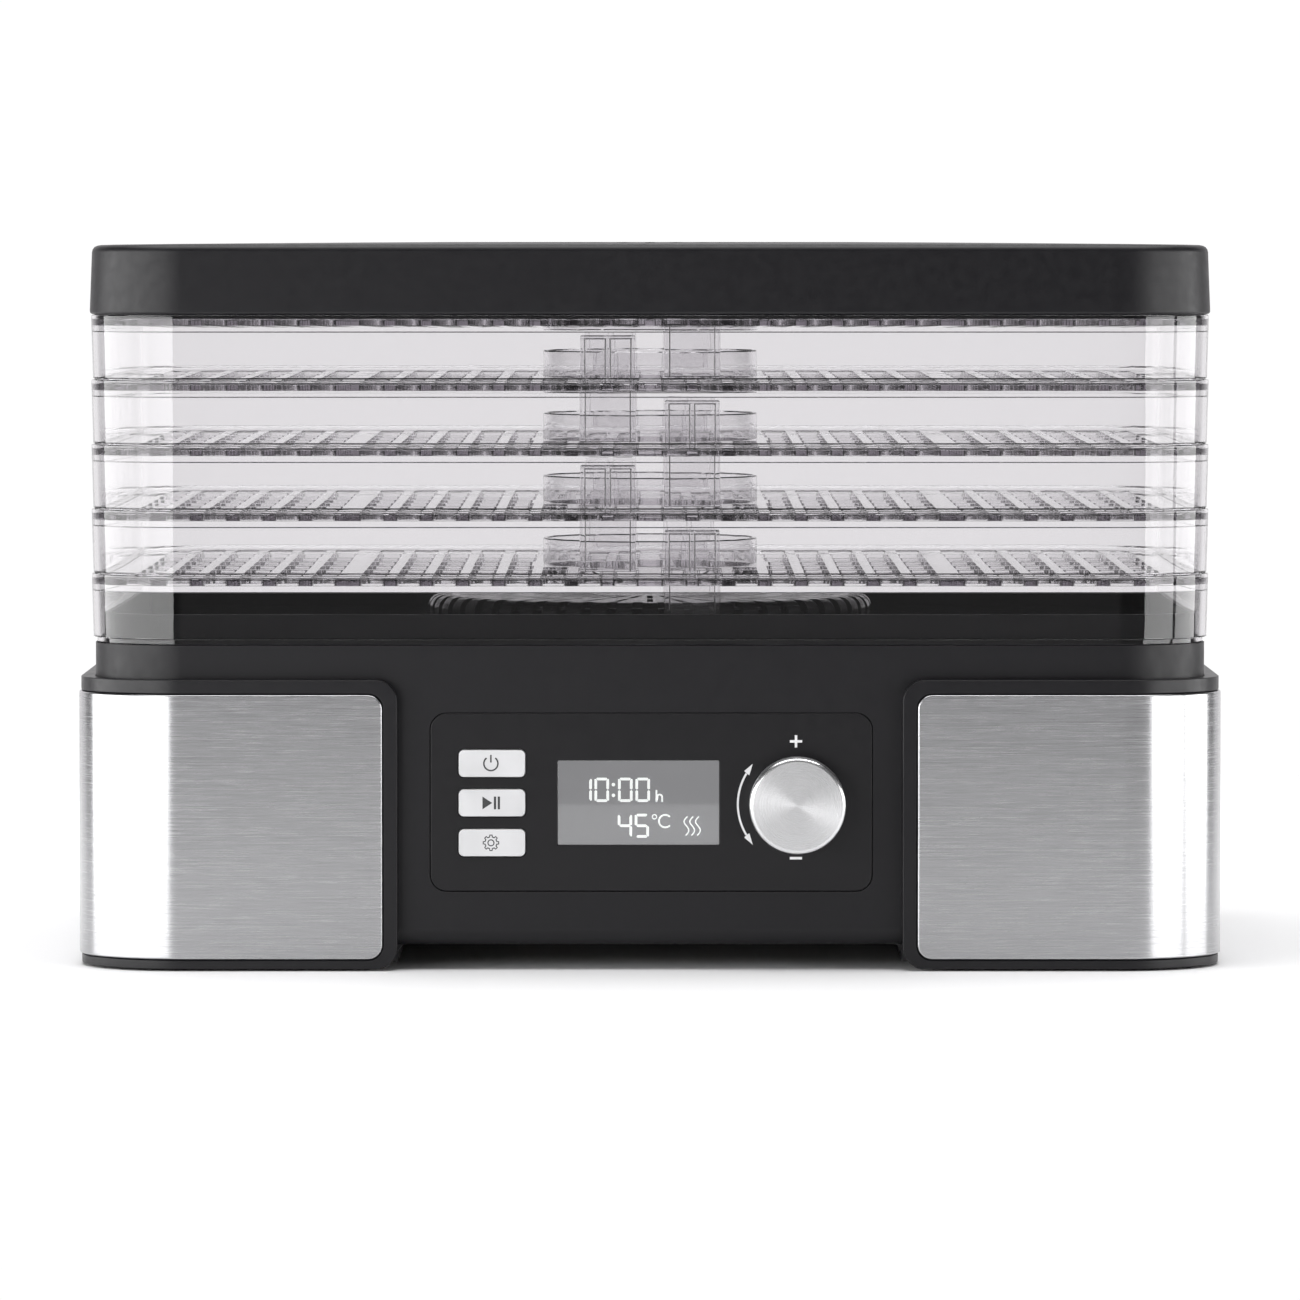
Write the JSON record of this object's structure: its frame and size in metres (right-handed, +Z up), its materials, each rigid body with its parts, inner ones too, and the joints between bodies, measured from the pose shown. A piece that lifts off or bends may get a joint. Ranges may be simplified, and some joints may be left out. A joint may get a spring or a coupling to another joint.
{
  "type": "food dehydrator",
  "caption": "Counter-top food dehydrator: a base with a fan, a heater, steel side panels and a control panel carries a stack of clear slotted trays with a dark lid on top.",
  "frame": {"origin": "middle of the bounding box's footprint, on the table that the rubber feet stand on", "axes": "+X to the right seen from the front, +Y from the control panel to the back, +Z up through the stack of trays"},
  "size_m": [0.45, 0.316, 0.2845],
  "materials": {
    "black_plastic": "fine texture",
    "frame_plastic": "fine texture",
    "panel_plastic": "smooth",
    "clear_plastic": "clear",
    "steel": "brushed along its length",
    "deck_black": "polished",
    "grille_grey": "smooth",
    "lens": "clear",
    "display_case": "smooth",
    "circuit_board": "solder resist",
    "switch_black": "smooth",
    "key_grey": "smooth",
    "knob_metal": "spun",
    "bright_steel": "turned",
    "sheet_metal": "galvanised",
    "fan_metal": "stamped",
    "lamination": "stacked sheet",
    "winding": "enamelled wire",
    "bearing_bronze": "sintered",
    "mica": "pressed mica board",
    "heater_wire": "resistance wire",
    "switch_case": "moulded",
    "sensor_metal": "plain",
    "relay_case": "moulded",
    "transformer_tape": "taped",
    "capacitor_sleeve": "sleeved",
    "terminal_green": "moulded",
    "foot_rubber": "moulded",
    "screw_steel": "zinc plated"
  },
  "bodies": {
    "base": {"base_housing": "black_plastic", "bottom_plate": "black_plastic", "left_side_frame": "frame_plastic", "right_side_frame": "frame_plastic", "left_steel_panel": "steel", "right_steel_panel": "steel", "deck_plate": "deck_black", "outlet_grille": "grille_grey", "air_duct": "sheet_metal", "control_fascia": "panel_plastic", "display_window": "lens", "display_module": "display_case", "control_board": "circuit_board", "tact_switches": "switch_black", "encoder_body": "sheet_metal", "encoder_nut": "bright_steel", "motor_stator": "lamination", "motor_coil": "winding", "motor_bracket_upper": "fan_metal", "motor_bracket_lower": "fan_metal", "motor_bearings": "bearing_bronze", "motor_mount": "sheet_metal", "heater_frame": "mica", "heater_coil": "heater_wire", "thermal_cutout": "switch_case", "temperature_sensor": "sensor_metal", "power_board": "circuit_board", "power_relay": "relay_case", "power_transformer": "transformer_tape", "filter_capacitor": "capacitor_sleeve", "terminal_block": "terminal_green", "rubber_feet": "foot_rubber", "cord_gland": "foot_rubber", "housing_screws": "screw_steel", "board_screws": "screw_steel", "panel_screws": "screw_steel", "motor_screws": "screw_steel", "duct_screws": "screw_steel"},
    "fan": {"fan_impeller": "fan_metal", "motor_shaft": "bright_steel", "motor_rotor": "fan_metal"},
    "dial": {"knob": "knob_metal", "encoder_shaft": "bright_steel"},
    "power_key": {"power_button": "key_grey", "power_plunger": "key_grey"},
    "start_key": {"start_button": "key_grey", "start_plunger": "key_grey"},
    "settings_key": {"settings_button": "key_grey", "settings_plunger": "key_grey"},
    "tray_5": {"tray_5": "clear_plastic"},
    "tray_4": {"tray_4": "clear_plastic"},
    "tray_3": {"tray_3": "clear_plastic"},
    "tray_2": {"tray_2": "clear_plastic"},
    "tray_1": {"tray_1": "clear_plastic"},
    "lid": {"lid": "black_plastic"}
  },
  "joints": [
    {"name": "fan_spin", "type": "hinge", "parent": "base", "child": "fan", "pos_m": [0, 0.0038, 0.078], "axis": [0, 0, 1], "continuous": true},
    {"name": "dial_turn", "type": "hinge", "parent": "base", "child": "dial", "pos_m": [0.0575, -0.1517, 0.065], "axis": [0, 1, 0], "continuous": true},
    {"name": "power_press", "type": "slide", "parent": "base", "child": "power_key", "axis": [0, 1, 0], "range_m": [0, 0.0008], "stiffness_N_per_m": 600},
    {"name": "start_press", "type": "slide", "parent": "base", "child": "start_key", "axis": [0, 1, 0], "range_m": [0, 0.0008], "stiffness_N_per_m": 600},
    {"name": "settings_press", "type": "slide", "parent": "base", "child": "settings_key", "axis": [0, 1, 0], "range_m": [0, 0.0008], "stiffness_N_per_m": 600},
    {"name": "tray_5_lift", "type": "slide", "parent": "base", "child": "tray_5", "axis": [0, 0, 1], "range_m": [0, 0.06]},
    {"name": "tray_4_lift", "type": "slide", "parent": "tray_5", "child": "tray_4", "axis": [0, 0, 1], "range_m": [0, 0.06]},
    {"name": "tray_3_lift", "type": "slide", "parent": "tray_4", "child": "tray_3", "axis": [0, 0, 1], "range_m": [0, 0.06]},
    {"name": "tray_2_lift", "type": "slide", "parent": "tray_3", "child": "tray_2", "axis": [0, 0, 1], "range_m": [0, 0.06]},
    {"name": "tray_1_lift", "type": "slide", "parent": "tray_2", "child": "tray_1", "axis": [0, 0, 1], "range_m": [0, 0.06]},
    {"name": "lid_lift", "type": "slide", "parent": "tray_1", "child": "lid", "axis": [0, 0, 1], "range_m": [0, 0.06]}
  ]
}
